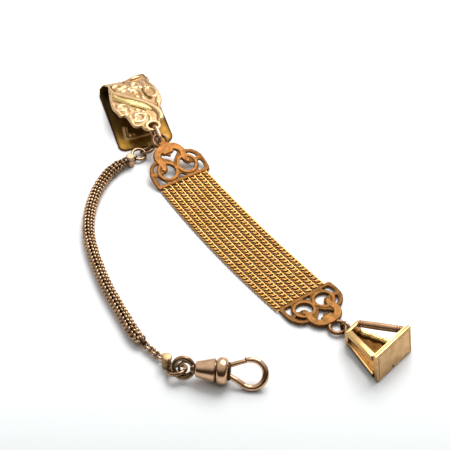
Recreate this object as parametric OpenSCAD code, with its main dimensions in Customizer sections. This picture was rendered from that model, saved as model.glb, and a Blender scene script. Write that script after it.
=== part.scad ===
// Watch chain: pocket clip, two pierced plates joined by eight fine strands, a seal, and a
// woven chain that ends in a watch swivel. It lies on a flat surface, the clip at +Y.

/* [Strands] */
// Number of fine strands side by side
strand_count = 8; // [4:1:8]
// Width of one strand
strand_w = 2.2; // [1.8:0.05:2.3]
// Thickness of one strand
strand_t = 1.3; // [1:0.05:1.6]
// Distance between the base edges of the two plates
strand_span = 67.7; // [50:0.1:90]

/* [Plates] */
// Width of a plate along its base edge
plate_w = 20.4; // [20:0.1:22]
// Thickness of a plate
plate_t = 0.8; // [0.6:0.05:1]
// Radius of the wire loop at a plate's end, to the middle of the wire
loop_r = 2.55; // [2.4:0.05:2.6]
// Lift of the top plate, towards its wire loop
top_tilt = 20.5; // [15:0.5:22]
// Lift of the bottom plate, towards its wire loop
bottom_tilt = 3; // [0:0.5:5]

/* [Clip] */
// Width of the clip's back leaf
clip_w = 20.2; // [18:0.1:22]
// Length of the back leaf up to the fold
clip_l = 32.1; // [28:0.1:36]
// Thickness of the clip's sheet
clip_t = 0.7; // [0.5:0.05:0.8]
// Outer radius of the fold
fold_r = 2.3; // [2.1:0.05:2.6]
// Turn of the whole clip about the vertical
clip_yaw = -19; // [-25:1:-10]
// Diameter of the hole in the eyelet
eyelet_hole = 3.5; // [3:0.1:3.8]

/* [Woven chain] */
// Width of the woven chain
woven_d = 3.9; // [3.4:0.1:4.2]
// Width of its thin end
woven_end_d = 2.3; // [2:0.1:3]

/* [Seal] */
// Length of the seal's tablet
tablet_l = 17.2; // [16.6:0.1:18]
// Width of the seal's tablet
tablet_w = 10.5; // [9.5:0.1:11]
// Thickness of the tablet
tablet_t = 2.2; // [1.8:0.1:2.6]
// Height of the yoke's top over the tablet's face
yoke_h = 16.9; // [16.5:0.1:17.3]

/* [Swivel] */
// Turn of the hook about the barrel
hook_turn = 48; // [44:1:60]
// Radius of the hook's bend, to the middle of its wire
hook_r = 4.4; // [4.2:0.1:4.6]
// Thickness of the hook's wire
hook_wire = 1.6; // [1.4:0.1:1.8]
// Diameter of the shank that turns in the barrel
shank_d = 1.6; // [1.4:0.05:1.8]
// Running clearance round the shank
shank_gap = 0.03; // [0.02:0.01:0.06]

/* [Hidden] */
$fn = 48;

// Middle of the whole chain, which is moved to the origin
centre_x = -17.9;
centre_y = 41.5;

gold = [0.86, 0.62, 0.32];
yellow_gold = [0.90, 0.72, 0.34];
rosy_gold = [0.84, 0.56, 0.38];
dark_gold = [0.55, 0.44, 0.25];

// Rod along a plate's base edge, which the strands hook on
rod_d = 0.7;
rod_z = 0.65;
rod_gap = 0.1;
// Base edges of the two plates
bottom_base = -0.35;
top_base = bottom_base + strand_span;
plate_x = -0.15;
top_yaw = -3;

// Middle of the row of strands: near the bottom plate, halfway and near the top plate
row_y = [0, strand_span / 2, strand_span];
row_x = [-1.45, -2.25, -0.75];
row_pitch = [2.53, 2.52, 2.38];
strand_rings = 8;
strand_z = strand_t / 2 + 0.05;

// Route of the woven chain, from the upper cap round to the lower cap
woven_z = 2.05;
woven_route = [
    [-12.8, 85.6], [-20, 84.2], [-28, 79.4], [-35.4, 72.4], [-41.6, 63.8], [-46, 53.6],
    [-50, 40], [-52.2, 28], [-53.9, 16.5], [-53.3, 9.4], [-52.4, 3.3]];
// Number of route spans over which the thin end tapers
taper_spans = 2;

function unit(v) = v / norm(v);

// Point of a smooth curve through four neighbouring route points, at share t of the middle span
function curve(a, b, c, d, t) =
    0.5 * (2 * b + (c - a) * t + (2 * a - 5 * b + 4 * c - d) * t * t + (3 * b - a - 3 * c + d) * t * t * t);

// The route with a point halfway along each span
function smooth_route(p) = let (n = len(p) - 1) [
    for (i = [0:n - 1], t = [0, 0.5])
        curve(p[max(i - 1, 0)], p[i], p[i + 1], p[min(i + 2, n)], t),
    p[n]];

// One ring of a tube: flat facets below and above, w wide and h high
tube_sides = 8;
function tube_ring(at, along, w, h) =
    let (side = unit(cross([0, 0, 1], along)), up = cross(along, side), k = 1 / cos(180 / tube_sides))
    [for (s = [0:tube_sides - 1]) let (a = (s + 0.5) * 360 / tube_sides)
        at + side * (w / 2 * k * cos(a)) + up * (h / 2 * k * sin(a))];

// Tube along the points p, with a width and a height for each of them
module tube(p, w, h) {
    n = len(p) - 1;
    points = [for (i = [0:n]) each tube_ring(p[i], unit(p[min(i + 1, n)] - p[max(i - 1, 0)]), w[i], h[i])];
    walls = [for (i = [0:n - 1], s = [0:tube_sides - 1])
        let (a = i * tube_sides + s, b = i * tube_sides + (s + 1) % tube_sides)
        [a, a + tube_sides, b + tube_sides, b]];
    first = [for (s = [0:tube_sides - 1]) s];
    last = [for (s = [tube_sides - 1:-1:0]) n * tube_sides + s];
    polyhedron(points, concat(walls, [first, last]), convexity = 6);
}

// Round wire ring about the vertical, radius to the middle of the wire
module wire_ring(radius, wire) {
    rotate_extrude() translate([radius, 0]) circle(d = wire);
}

// Puts a ring at a point, leaning by tilt degrees towards a bearing counted from +X
module lean(at, tilt, bearing) {
    translate(at) rotate([0, tilt, bearing]) children();
}

// Round bar between two points
module bar(from, to, d) {
    along = to - from;
    translate(from)
        rotate([0, acos(along.z / norm(along)), atan2(along.y, along.x)])
            cylinder(h = norm(along), d = d);
}

// Everything is drawn from the middle of the bottom plate's base edge and moved as one
module laid_out() {
    translate([-centre_x, -centre_y, 0]) children();
}

// Outline of a plate: u across, v from the base edge to the wire loop at its end
loop_v = 17.2;
loop_wire = 0.9;
loop_drop = 0.3;
side_lobe_at = [5.3, 4.9];
side_lobe_r = 5.3;
end_lobe_at = [0, 9.4];
end_lobe_r = 5.8;
shoulder = [plate_w / 2 + 0.4, 3.2];
neck_v = 14;
module plate_outline() {
    intersection() {
        translate([-plate_w, 0]) square(2 * plate_w);
        union() {
            polygon([[-plate_w / 2, 0], [plate_w / 2, 0], shoulder, [0, neck_v], [-shoulder.x, shoulder.y]]);
            for (side = [-1, 1]) translate([side * side_lobe_at.x, side_lobe_at.y]) circle(r = side_lobe_r);
            translate(end_lobe_at) circle(r = end_lobe_r);
        }
    }
}

// Windows of a plate, the same on both sides of its middle. The crescent runs round the bead at the
// end of the C-scroll, and the bridge joins that bead to the scroll.
scroll_at = [3.9, 5.2];
scroll_r = 2.75;
bead_at = [5, 6.6];
bead_r = 1.7;
bridge = [[2.4, 8.4], [3.6, 6.4], [5, 6.6], [5.8, 4.9], [7, 4.6], [7, 8.4]];
base_window = [[6.2, 1.1], [8.9, 1.2], [9.3, 3], [9, 4.5], [8, 4.7], [7.6, 3.2], [6.9, 2.1]];
side_window = [[5.6, 8.2], [6.3, 7], [7.4, 6.1], [8.6, 6.3], [8.2, 7.5], [7.1, 8.7], [6, 9]];
heart_window = [
    [0, 10], [0, 7.6], [1.1, 9.1], [2.6, 10.3], [3.2, 11], [2.8, 11.7], [1.8, 11.6], [0.8, 10.8]];
base_notch = [[-1.7, 1.1], [1.7, 1.1], [0.3, 2.4], [-0.3, 2.4]];
module plate_windows() {
    for (side = [0, 1]) mirror([side, 0]) {
        difference() {
            translate(scroll_at) circle(r = scroll_r);
            translate(bead_at) circle(r = bead_r);
            polygon(bridge);
        }
        polygon(base_window);
        polygon(side_window);
        polygon(heart_window);
    }
    polygon(base_notch);
}

// Plate with its soldered base rod, from the base edge along +Y, lifted by tilt
module plate(tilt) {
    translate([0, 0, rod_z]) rotate([tilt, 0, 0]) {
        translate([0, 0, -plate_t / 2]) linear_extrude(plate_t) difference() {
            plate_outline();
            plate_windows();
        }
        translate([-plate_w / 2, 0, 0]) rotate([0, 90, 0]) cylinder(h = plate_w, d = rod_d);
        translate([0, loop_v, -loop_drop]) wire_ring(loop_r, loop_wire);
    }
}

module top_plate() {
    color(gold) laid_out() translate([plate_x, top_base, 0]) rotate([0, 0, top_yaw]) plate(top_tilt);
}

module bottom_plate() {
    color(gold) laid_out() translate([plate_x, bottom_base, 0]) rotate([0, 0, 180]) plate(bottom_tilt);
}

// Middle of strand i at the distance y from the bottom plate: a curve through the three rows
function through_rows(v, y) = let (a = row_y[0], b = row_y[1], c = row_y[2])
    v[0] * (y - b) * (y - c) / ((a - b) * (a - c))
    + v[1] * (y - a) * (y - c) / ((b - a) * (b - c))
    + v[2] * (y - a) * (y - b) / ((c - a) * (c - b));
function strand_at(i, y) =
    [through_rows(row_x, y) + (i - (strand_count + 1) / 2) * through_rows(row_pitch, y), y, strand_z];

// Strand i of fine chain, from plate to plate
module strand(i) {
    first_y = bottom_base + rod_d / 2 + rod_gap;
    top_x = strand_at(i, strand_span).x - plate_x;
    last_y = top_base + top_x * tan(top_yaw) - rod_d / 2 - rod_gap;
    route = [for (k = [0:strand_rings - 1])
        strand_at(i, first_y + (last_y - first_y) * k / (strand_rings - 1))];
    color(yellow_gold) laid_out()
        tube(route, [for (p = route) strand_w], [for (p = route) strand_t]);
}

// Puts a shape into the clip's own frame: X across, Y from the lower edge of the back leaf to the fold
clip_at = [-0.25, 89.25, 0];
module on_clip() {
    laid_out() translate(clip_at) rotate([0, 0, clip_yaw]) children();
}

// The front leaf is a slightly bowed band that leaves the fold rising by leaf_rise degrees
leaf_rise = 13;
leaf_r = 127;
fold_mid = fold_r - clip_t / 2;
leaf_start = [clip_l + fold_mid * sin(leaf_rise), fold_r + fold_mid * cos(leaf_rise)];
leaf_centre = leaf_start - leaf_r * [sin(leaf_rise), cos(leaf_rise)];
// Length and height that hold the whole side view
side_l = 2 * clip_l;
side_h = 12;

// Wall between two circles about the same middle
module curved_wall(r) {
    difference() {
        circle(r = r + clip_t / 2);
        circle(r = r - clip_t / 2);
    }
}

// Side view of the clip's lower half: Y along, Z up
module clip_lower_2d() {
    square([clip_l, clip_t]);
    intersection() {
        translate([clip_l, fold_r]) curved_wall(fold_mid);
        translate([clip_l, 0]) square(fold_r);
    }
}

// Side view of its upper half: the rest of the fold, then the front leaf
module clip_upper_2d() {
    intersection() {
        translate([clip_l, fold_r]) curved_wall(fold_mid);
        translate([clip_l, fold_r]) rotate(-leaf_rise) translate([0, -fold_r * tan(leaf_rise)])
            square(2 * fold_r);
        translate([0, fold_r]) square([side_l, fold_r]);
    }
    intersection() {
        translate(leaf_centre) curved_wall(leaf_r);
        translate(leaf_start) rotate(-leaf_rise) translate([-side_l, -side_h]) square([side_l, 2 * side_h]);
        translate([-eyelet_r, fold_r]) square([side_l, side_h]);
    }
}

// Stands a side view up across the clip
module across_clip() {
    translate([-clip_w, 0, 0]) rotate([90, 0, 90]) linear_extrude(2 * clip_w) children();
}

// Outline of the back leaf and of the lower half of the fold, a little further out on the left
back_left = -clip_w / 2 - 0.7;
back_right = clip_w / 2 - 0.7;
left_corner = 2.5;
right_corner = 4;
fold_end = clip_l + fold_r;
taper_from = clip_l - 0.6;
taper = 0.8;
module corner_waste(r) {
    difference() {
        translate([0, -r]) square(2 * r);
        translate([0, r]) circle(r = r);
    }
}
module back_leaf_outline() {
    difference() {
        polygon([[back_left, 0], [back_right, 0], [back_right, taper_from], [back_right - taper, fold_end],
            [back_left + taper, fold_end], [back_left, taper_from]]);
        translate([back_right - right_corner, 0]) corner_waste(right_corner);
        translate([back_left + left_corner, 0]) mirror([1, 0]) corner_waste(left_corner);
    }
}

// Outline of the front leaf, down the left side to the tip and back up the right
front_outline = [
    [-10.1, 34.5], [-8.6, 33], [-7.7, 30.3], [-8.3, 26.6], [-8.9, 22.8], [-9.3, 19.2], [-9.4, 15.2],
    [-8.6, 12.5], [-7.9, 9.9], [-6.5, 9.9], [-5.7, 8.3], [-5.3, 6], [-4.6, 3.3], [-3.2, 2.5], [-2.1, 2.7],
    [-1.5, 1.2], [-0.1, -0.9], [2.2, -1.1], [4.2, 1], [5.1, 3.7], [6.9, 5.2], [7.2, 8.3], [7.4, 12],
    [9, 15.9], [9.3, 21.4], [8.5, 26.2], [7.6, 29.9], [8.6, 34.5]];
eyelet_at = [2.1, 2.2];
eyelet_r = 2.9;
eyelet_z = 5;
// Pointed flap that lies over the fold, seen from above the front leaf
flap_t = 0.5;
flap_outline = [[-2, -1], [7.5, -1], [6.7, 3.4], [2, 2], [-0.6, 0.2]];

// Soldered loop at the lower edge of the back leaf, and the foot that carries it
lug_at = [-0.2, -1.35, 1.38];
lug_r = 1.1;
lug_wire = 0.6;
lug_lean = 20;
lug_foot = [[0, -0.55, 0.6], [0, 0.8, 0.36]];
lug_foot_d = 0.7;

module clip() {
    color(rosy_gold) on_clip() {
        intersection() {
            across_clip() clip_lower_2d();
            linear_extrude(side_h) back_leaf_outline();
        }
        difference() {
            intersection() {
                across_clip() clip_upper_2d();
                linear_extrude(side_h) {
                    polygon(front_outline);
                    translate(eyelet_at) circle(r = eyelet_r);
                }
            }
            translate([eyelet_at.x, eyelet_at.y, eyelet_z]) cylinder(h = eyelet_z, d = eyelet_hole);
        }
        translate([0, leaf_start.x, leaf_start.y + clip_t / 2]) rotate([-leaf_rise, 0, 0])
            translate([0, 0, -flap_t]) linear_extrude(flap_t) polygon(flap_outline);
        translate(lug_at) rotate([0, 90 - lug_lean, 0]) wire_ring(lug_r, lug_wire);
        bar(lug_foot[0], lug_foot[1], lug_foot_d);
    }
}

// Oval link of round wire, length and width to the middle of the wire, along X, lying flat
module oval_link(length, width, wire) {
    straight = length - width;
    for (end = [0, 180]) rotate([0, 0, end]) translate([straight / 2, 0, 0]) rotate([0, 0, -90])
        rotate_extrude(angle = 180) translate([width / 2, 0]) circle(d = wire);
    for (side = [-1, 1]) translate([-straight / 2, side * width / 2, 0]) rotate([0, 90, 0])
        cylinder(h = straight, d = wire);
}

// Hanger link, from the top plate's wire loop to the clip's eyelet
hanger_from = [0.35, 83.55, 6.3];
hanger_to = [2, 89.7, 7.35];
hanger_wire = 0.8;
hanger_w = 3.2;
hanger_lean = 21;
module clip_ring() {
    along = hanger_to - hanger_from;
    color(gold) laid_out() translate((hanger_from + hanger_to) / 2)
        rotate([0, -asin(along.z / norm(along)), atan2(along.y, along.x)])
            rotate([90 + hanger_lean, 0, 0]) oval_link(norm(along), hanger_w, hanger_wire);
}

// Jump rings: where each lies, how it leans, its radius to the middle of the wire, and its wire
module jump_ring(at, tilt, bearing, radius, wire) {
    color(gold) laid_out() lean(at, tilt, bearing) wire_ring(radius, wire);
}
module seal_ring() { jump_ring([1.05, -19.95, 2.25], 79, 182, 1.85, 0.8); }
module clip_link() { jump_ring([-2.78, 86.45, 1.82], 31, 102, 2.5, 0.9); }
module upper_ring() { jump_ring([-6.48, 86.57, 1.67], 13, -76, 2.35, 0.8); }
module lower_ring() { jump_ring([-51.6, -3.3, 2.6], 24, 86, 2.75, 0.9); }

// Turned end cap of the woven chain, an upright drum with a loop on its side
cap_h = 4.7;
cap_r = 1.5;
cap_eye_r = 1;
cap_eye_wire = 0.6;
cap_eye_out = 2.4;
module end_cap(eye_bearing, eye_z) {
    rotate_extrude() polygon([
        [0, 0.1], [1.15, 0.1], [1.3, 0.3], [1.3, 2.9], [1.1, 3.1], [1.1, 3.4], [cap_r - 0.1, 3.7],
        [cap_r, 3.85], [cap_r, cap_h - 0.3], [cap_r - 0.2, cap_h - 0.1], [cap_r - 0.5, cap_h], [0, cap_h]]);
    rotate([0, 0, eye_bearing]) translate([cap_eye_out, 0, eye_z]) rotate([90, 0, 0])
        wire_ring(cap_eye_r, cap_eye_wire);
}

upper_cap_at = [-11.1, 84.9, 0];
lower_cap_at = [-52.2, 1.5, 0];
module upper_cap() { color(rosy_gold) laid_out() translate(upper_cap_at) end_cap(17, 1.62); }
module lower_cap() { color(rosy_gold) laid_out() translate(lower_cap_at) end_cap(-80, 1.5); }

module woven_chain() {
    route = [for (p = smooth_route(woven_route)) [p.x, p.y, woven_z]];
    n = len(route) - 1;
    width = [for (i = [0:n])
        woven_d + (woven_end_d - woven_d) * max(0, 1 - (n - i) / (2 * taper_spans))];
    color(rosy_gold) laid_out() tube(route, width, width);
}

// The seal lies on its side: X along the tablet's long edge, Z from the tablet's face to the bail
seal_at = [4.85, -39.86, 0.24];
seal_yaw = 12.4;
seal_lean = 8.2;
module on_seal() {
    laid_out() translate(seal_at) rotate([-90 - seal_lean, 0, seal_yaw]) translate([0, -tablet_w / 2, 0])
        children();
}

tablet_rim = 1.2;
tablet_step = 0.6;
yoke_size = [6.8, 5.5, 1.3];
leg_d = 1.9;
// Head x and y, then foot x and y of each leg
legs = [[-2.6, -2.2, -7.6, -3.2], [2.6, -2.3, 7.4, -3.5], [-2.6, 2, -7.6, 4], [2.4, 2, 6.6, 4]];
// Panel that closes the side on which the seal lies, between the two lower legs
panel_t = 0.6;
panel_foot = [legs[2][3], tablet_t];
panel_head = [legs[2][1], yoke_h - yoke_size.z];
panel_l = norm(panel_head - panel_foot);
panel_lean = atan2(panel_foot.x - panel_head.x, panel_head.y - panel_foot.y);
// How far a soldered end reaches into its neighbour
sink = 0.2;
bail_r = 1.4;
bail_wire = 0.84;
bail_turn = 33;
bail_leg = 0.75;
module seal() {
    color(yellow_gold) on_seal() {
        // Tablet with a stepped back
        translate([-tablet_l / 2, -tablet_w / 2, 0]) cube([tablet_l, tablet_w, tablet_rim]);
        translate([-tablet_l / 2 + tablet_step, -tablet_w / 2 + tablet_step, 0])
            cube([tablet_l - 2 * tablet_step, tablet_w - 2 * tablet_step, tablet_t]);
        // Legs
        for (leg = legs)
            bar([leg[2], leg[3], tablet_t - sink], [leg[0], leg[1], yoke_h - yoke_size.z + sink], leg_d);
        // Panel
        translate([0, panel_foot.x, panel_foot.y]) rotate([90 + panel_lean, 0, 0])
            linear_extrude(panel_t, center = true)
                polygon([[legs[2][2], -sink], [legs[3][2], -sink], [legs[3][0], panel_l + sink],
                    [legs[2][0], panel_l + sink]]);
        // Yoke
        translate([-yoke_size.x / 2, -yoke_size.y / 2, yoke_h - yoke_size.z]) cube(yoke_size);
        // Bail
        rotate([0, 0, bail_turn]) {
            translate([0, 0, yoke_h + bail_leg]) rotate([90, 0, 0])
                rotate_extrude(angle = 180) translate([bail_r, 0]) circle(d = bail_wire);
            for (x = [-1, 1]) translate([x * bail_r, 0, yoke_h - sink])
                cylinder(h = bail_leg + sink, d = bail_wire);
        }
    }
}

// The swivel: X along the barrel from its narrow end to the hook, Y in the plane of the hook
swivel_at = [-47.64, -7.51, 4.35];
swivel_yaw = -41.5;
module on_swivel(turn) {
    laid_out() translate(swivel_at) rotate([0, 0, swivel_yaw]) rotate([turn, 0, 0]) children();
}

eye_turn = 56;
eye_r = 3.05;
eye_wire = 1.1;
eye_back = 3.75;
head_d = 2.6;
head_t = 0.8;
head_at = 2.5;
cavity_d = 2.9;
cavity = [2, 4.2];
module swivel_eye() {
    color(rosy_gold) on_swivel(eye_turn) {
        translate([-eye_back, 0, 0]) wire_ring(eye_r, eye_wire);
        translate([-eye_back + eye_r, 0, 0]) rotate([0, 90, 0])
            cylinder(h = eye_back - eye_r + head_at, d = shank_d);
        translate([head_at, 0, 0]) rotate([0, 90, 0]) cylinder(h = head_t, d = head_d);
    }
}

// Barrel profile: distance along the barrel, radius
barrel_profile = [
    [0, 0], [0, 2.2], [0.3, 2.4], [1.6, 2.6], [3, 2.9], [4.6, 3.25], [5.6, 3.6], [6, 3.6], [6.3, 3.1],
    [6.5, 3.5], [6.9, 4], [7.6, 4.25], [8.3, 4.3], [9, 4.2], [9.6, 3.9], [10, 3.4], [10.1, 2.8],
    [10.8, 2.8], [10.8, 0]];
hook_at = [17.15, -0.2];
hook_root = [10.4, -1.45];
hook_start = 216;
hook_end = 112;
arm_d = 1.75;
pin_at = [10.2, 1.9];
pin_d = 0.7;
pin_l = 3.4;
slot_w = 1.5;
slot_l = 3;
slot_h = 5;
slot_from = 9;
slot_low = 0.7;
arm_bearing = 227;
arm_end = hook_at + hook_r * [cos(arm_bearing), sin(arm_bearing)];

module swivel_hook() {
    color(rosy_gold) on_swivel(hook_turn) difference() {
        union() {
            rotate([90, 0, 90]) rotate_extrude() polygon([for (p = barrel_profile) [p.y, p.x]]);
            translate([hook_at.x, hook_at.y, 0]) rotate([0, 0, hook_start])
                rotate_extrude(angle = 360 + hook_end - hook_start)
                    translate([hook_r, 0]) circle(d = hook_wire);
            bar([hook_root.x, hook_root.y, 0], [arm_end.x, arm_end.y, 0], arm_d);
        }
        // Bore and cavity of the swivelling shank
        translate([-cavity.x, 0, 0]) rotate([0, 90, 0])
            cylinder(h = 2 * cavity.x + sink, d = shank_d + 2 * shank_gap);
        translate([cavity.x, 0, 0]) rotate([0, 90, 0]) cylinder(h = cavity.y - cavity.x, d = cavity_d);
        // Slot and pin hole of the gate
        translate([slot_from, slot_low, -slot_w / 2]) cube([slot_l, slot_h, slot_w]);
        translate([pin_at.x, pin_at.y, -pin_l]) cylinder(h = 2 * pin_l, d = pin_d);
    }
}

gate_d = 1.3;
gate_boss = 2;
gate_end = [15.35, 3.75];
gate_play = 0.06;
module hook_gate() {
    along = gate_end - pin_at;
    color(rosy_gold) on_swivel(hook_turn) difference() {
        union() {
            translate([pin_at.x, pin_at.y, -gate_d / 2]) cylinder(h = gate_d, d = gate_boss);
            translate([pin_at.x, pin_at.y, 0]) rotate([0, 90, atan2(along.y, along.x)])
                cylinder(h = norm(along), d = gate_d);
        }
        translate([pin_at.x, pin_at.y, -gate_boss]) cylinder(h = 2 * gate_boss, d = pin_d + gate_play);
    }
}

module gate_pin() {
    color(dark_gold) on_swivel(hook_turn) translate([pin_at.x, pin_at.y, -pin_l / 2])
        cylinder(h = pin_l, d = pin_d);
}

clip();
clip_ring();
top_plate();
for (i = [1:strand_count]) strand(i);
bottom_plate();
seal_ring();
seal();
clip_link();
upper_ring();
upper_cap();
woven_chain();
lower_cap();
lower_ring();
swivel_eye();
swivel_hook();
hook_gate();
gate_pin();
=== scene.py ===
import math

import bmesh
import bpy
import numpy as np
from mathutils import Matrix, Vector


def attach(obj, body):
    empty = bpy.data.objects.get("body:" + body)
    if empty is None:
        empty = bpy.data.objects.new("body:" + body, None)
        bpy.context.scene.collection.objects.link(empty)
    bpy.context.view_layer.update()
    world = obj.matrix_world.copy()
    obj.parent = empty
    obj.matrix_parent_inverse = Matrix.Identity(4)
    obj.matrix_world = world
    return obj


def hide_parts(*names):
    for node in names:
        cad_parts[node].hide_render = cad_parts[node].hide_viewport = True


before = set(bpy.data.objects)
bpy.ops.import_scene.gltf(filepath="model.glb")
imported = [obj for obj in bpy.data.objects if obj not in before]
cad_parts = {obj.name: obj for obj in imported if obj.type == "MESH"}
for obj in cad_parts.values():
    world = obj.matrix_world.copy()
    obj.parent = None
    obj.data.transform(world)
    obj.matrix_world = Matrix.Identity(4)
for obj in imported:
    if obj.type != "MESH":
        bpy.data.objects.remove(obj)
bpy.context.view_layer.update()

bpy.ops.object.select_all(action="DESELECT")

# Table: a smooth white board that the chain lies on. It shows as the soft grey shadows under the pieces,
# and its colour is painted greyer towards the camera, a painted shade where less light falls.
table_size = 6
painted_shade_towards = (-5.8, -8.1, 0)


def two_tones(ramp, low, low_colour, high, high_colour):
    """Sets a colour ramp's two tones, and where the first ends and the second begins."""
    for tone, value, colour in zip(ramp.color_ramp.elements, (low, high), (low_colour, high_colour)):
        tone.position = value
        tone.color = (*colour, 1)


bpy.ops.mesh.primitive_plane_add(size=table_size)
table = bpy.context.object
table.name = "table"
table_paint = bpy.data.materials.new("white table")
table_paint.use_nodes = True
table_nodes = table_paint.node_tree.nodes
table_link = table_paint.node_tree.links.new
table_shader = table_nodes["Principled BSDF"]
table_place = table_nodes.new("ShaderNodeTexCoord")
table_near = table_nodes.new("ShaderNodeVectorMath")
table_near.operation = "DOT_PRODUCT"
table_near.inputs[1].default_value = painted_shade_towards
# Painted shade: the ramp greys the white table towards the camera
table_painted_shade = table_nodes.new("ShaderNodeValToRGB")
two_tones(table_painted_shade, 0.3, (0.9, 0.9, 0.9), 1, (0.62, 0.66, 0.66))
table_link(table_place.outputs["Object"], table_near.inputs[0])
table_link(table_near.outputs["Value"], table_painted_shade.inputs["Fac"])
table_link(table_painted_shade.outputs["Color"], table_shader.inputs["Base Color"])
table_shader.inputs["Roughness"].default_value = 0.9
table_shader.inputs["Specular IOR Level"].default_value = 0.1
table.data.materials.append(table_paint)

# Studio light: a bright tent above and behind the chain, dark towards the camera and the horizon, and a
# large soft box up at the far right, so that the shadows fall towards the lower left of the picture.
tent = bpy.data.worlds.new("light tent")
bpy.context.scene.world = tent
tent.use_nodes = True
tent_nodes = tent.node_tree.nodes
tent_link = tent.node_tree.links.new
tent_place = tent_nodes.new("ShaderNodeTexCoord")
tent_side = tent_nodes.new("ShaderNodeVectorMath")
tent_side.operation = "DOT_PRODUCT"
tent_side.inputs[1].default_value = (0.30, 0.42, 0.85)
tent_tone = tent_nodes.new("ShaderNodeValToRGB")
two_tones(tent_tone, 0.12, (0.06, 0.045, 0.035), 0.72, (1, 1, 1))
tent_link(tent_place.outputs["Generated"], tent_side.inputs[0])
tent_link(tent_side.outputs["Value"], tent_tone.inputs["Fac"])
tent_link(tent_tone.outputs["Color"], tent_nodes["Background"].inputs["Color"])
tent_nodes["Background"].inputs["Strength"].default_value = 0.9

bpy.ops.object.light_add(type="AREA", location=(0.5, 0.3, 0.8))
soft_box = bpy.context.object
soft_box.data.size = 0.7
soft_box.data.energy = 11
soft_box.rotation_euler = (-soft_box.location).to_track_quat("-Z", "Y").to_euler()

# Camera: half a metre away over the seal's side of the chain, looking down at about 45 degrees with a
# long lens, as the chain was photographed.
camera_bearing = math.radians(-35.66)
camera_height = math.radians(44.72)
camera_reach = 0.50694
looks_at = Vector((0.0164, -0.00011, 0))
behind = Vector((math.sin(camera_bearing) * math.cos(camera_height),
                 -math.cos(camera_bearing) * math.cos(camera_height), math.sin(camera_height)))
bpy.ops.object.camera_add(location=looks_at + behind * camera_reach,
                          rotation=(math.pi / 2 - camera_height, 0, camera_bearing))
camera = bpy.context.object
camera.data.lens = 120
camera.data.sensor_width = 36
bpy.context.scene.camera = camera
bpy.context.scene.view_settings.view_transform = "Standard"

# Pocket clip: one stamped sheet of rolled gold, folded over. The back leaf is plain and tarnished,
# the front leaf is embossed with a ribbon, a fluted band and scrolls, and pierced at its tip.
# It is cut and embossed here as a flat blank, in millimetres, and then folded.
MM = 0.001


def put(at, turn=0, axis="Z"):
    """Place of a piece that is turned by an angle in degrees about an axis and then moved."""
    return Matrix.Translation(at) @ Matrix.Rotation(math.radians(turn), 4, axis)


# Every place is given from the middle of the bottom plate's rod, which lies here
laid_out = put((17.9, -41.5, 0))
clip_bearing = -19
clip_place = laid_out @ put((-0.25, 89.25, 0), clip_bearing)
sheet_t = 0.7
back_l = 32.1
back_left = -10.8
back_right = 9.4
left_corner = 2.5
right_corner = 4
fold_r = 2.3
bend_r = fold_r - sheet_t / 2
leaf_rise = math.radians(13)
leaf_r = 127
bend_l = bend_r * (math.pi - leaf_rise)
front_from = back_l + bend_l
leaf_start = Vector((back_l + bend_r * math.sin(leaf_rise), fold_r + bend_r * math.cos(leaf_rise)))
leaf_centre = leaf_start - leaf_r * Vector((math.sin(leaf_rise), math.cos(leaf_rise)))
front_outline = [
    (-10.1, 34.4), (-8.6, 33), (-7.7, 30.3), (-8.3, 26.6), (-8.9, 22.8), (-9.3, 19.2), (-9.4, 15.2),
    (-8.6, 12.5), (-7.9, 9.9), (-6.5, 9.9), (-5.7, 8.3), (-5.3, 6), (-4.6, 3.3), (-3.2, 2.5), (-2.1, 2.7),
    (-1.5, 1.2), (-0.7, 0.2), (0.4, -0.45), (2.1, -0.7), (3.6, -0.3), (4.6, 0.8), (5, 2.2), (5.1, 3.7),
    (6.9, 5.2), (7.2, 8.3), (7.4, 12), (9, 15.9), (9.3, 21.4), (8.5, 26.2), (7.6, 29.9), (8.6, 34.4)]
eyelet_at = (2.1, 2.2)
eyelet_r = 1.75


def smooth_line(points, steps=6):
    """A smooth line through the points, with steps places on each stretch."""
    points = [Vector(p) for p in points]
    line = []
    for i in range(len(points) - 1):
        a, b, c, d = points[max(i - 1, 0)], points[i], points[i + 1], points[min(i + 2, len(points) - 1)]
        for k in range(steps):
            t = k / steps
            line.append(0.5 * (2 * b + (c - a) * t + (2 * a - 5 * b + 4 * c - d) * t * t
                               + (3 * b - a - 3 * c + d) * t ** 3))
    return line + [points[-1]]


def arc_points(centre, radius, first, last, steps=8):
    """Places on an arc, with its two bearings in degrees."""
    bearings = [math.radians(first + (last - first) * k / steps) for k in range(steps + 1)]
    return [Vector((centre[0] + radius * math.cos(b), centre[1] + radius * math.sin(b))) for b in bearings]


def along_blank(y):
    """How far up the flat blank a place of the front half lies that is at y once the clip is folded."""
    if y > leaf_start.x:
        return back_l + bend_r * (math.pi - math.asin(min((y - back_l) / bend_r, 1)))
    return front_from + leaf_r * (math.acos((y - leaf_centre.x) / leaf_r) - (math.pi / 2 - leaf_rise))


def bearings_round(count):
    """Evenly spaced bearings of a full turn, without the last that falls on the first."""
    return np.linspace(0, math.tau, count + 1)[:-1]


def cut_block(outline, low, high):
    """A straight-sided block over a flat outline."""
    bpy.ops.mesh.primitive_circle_add(vertices=len(outline), fill_type="NGON", location=(0, 0, 0))
    block = bpy.context.object
    for vertex, place in zip(block.data.vertices, outline):
        vertex.co = (place[0], place[1], low)
    bpy.ops.object.mode_set(mode="EDIT")
    bpy.ops.mesh.select_all(action="SELECT")
    bpy.ops.mesh.extrude_region_move(TRANSFORM_OT_translate={"value": (0, 0, high - low)})
    bpy.ops.mesh.select_all(action="SELECT")
    bpy.ops.mesh.normals_make_consistent(inside=False)
    bpy.ops.object.mode_set(mode="OBJECT")
    return block


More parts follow.
